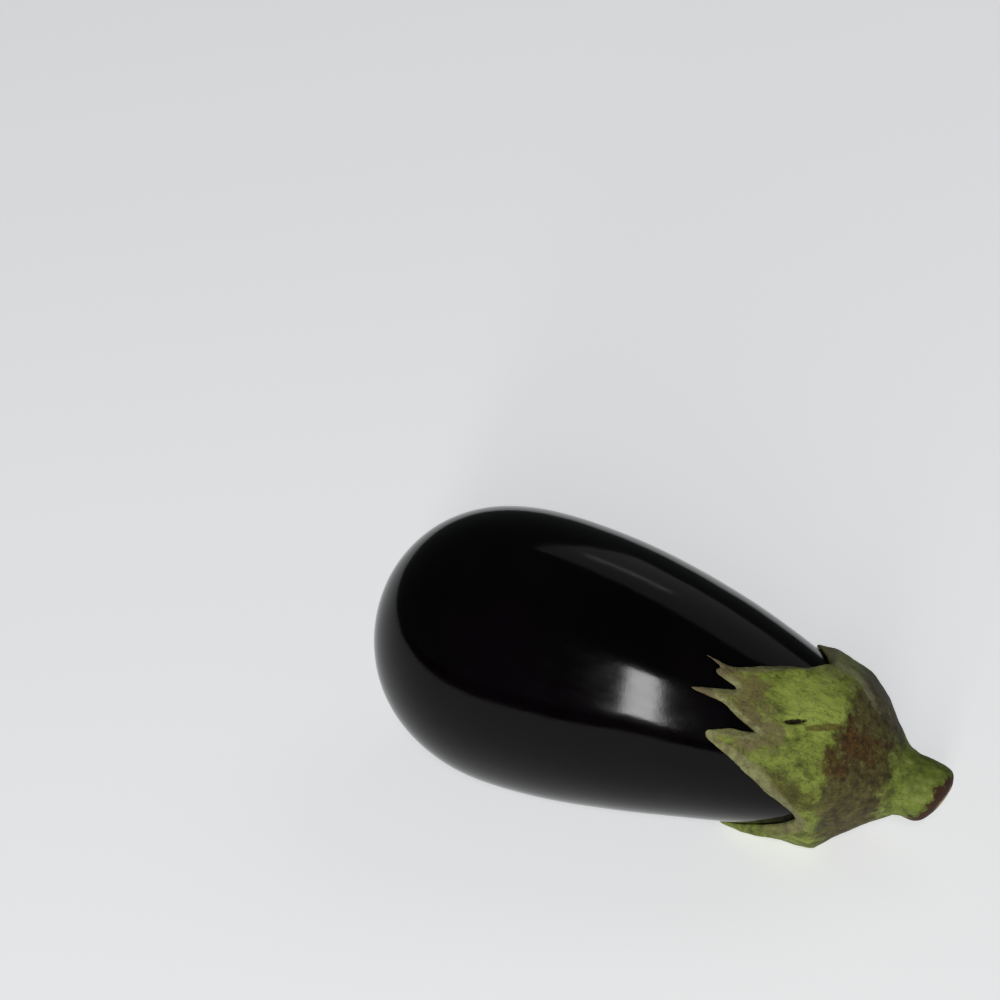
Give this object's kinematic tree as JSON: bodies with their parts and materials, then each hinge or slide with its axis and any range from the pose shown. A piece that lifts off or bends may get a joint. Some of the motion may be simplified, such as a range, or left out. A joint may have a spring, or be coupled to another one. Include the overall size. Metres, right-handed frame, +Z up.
{
  "type": "eggplant",
  "caption": "Whole glossy near-black eggplant lying on its side, its neck wrapped by a lobed green cap with a short cut stalk.",
  "frame": {"origin": "on the surface it rests on, under the middle of its bounding box", "axes": "+X from the blossom end towards the stalk, +Z up from the resting surface, -Y the side whose lobes reach farthest along the neck"},
  "size_m": [0.187, 0.0858, 0.0867],
  "materials": {
    "fruit_skin": "gloss",
    "calyx_tissue": "matte",
    "stalk": "matte"
  },
  "bodies": {
    "root": {"fruit": "fruit_skin", "calyx": "calyx_tissue", "stem": "stalk"}
  },
  "joints": []
}
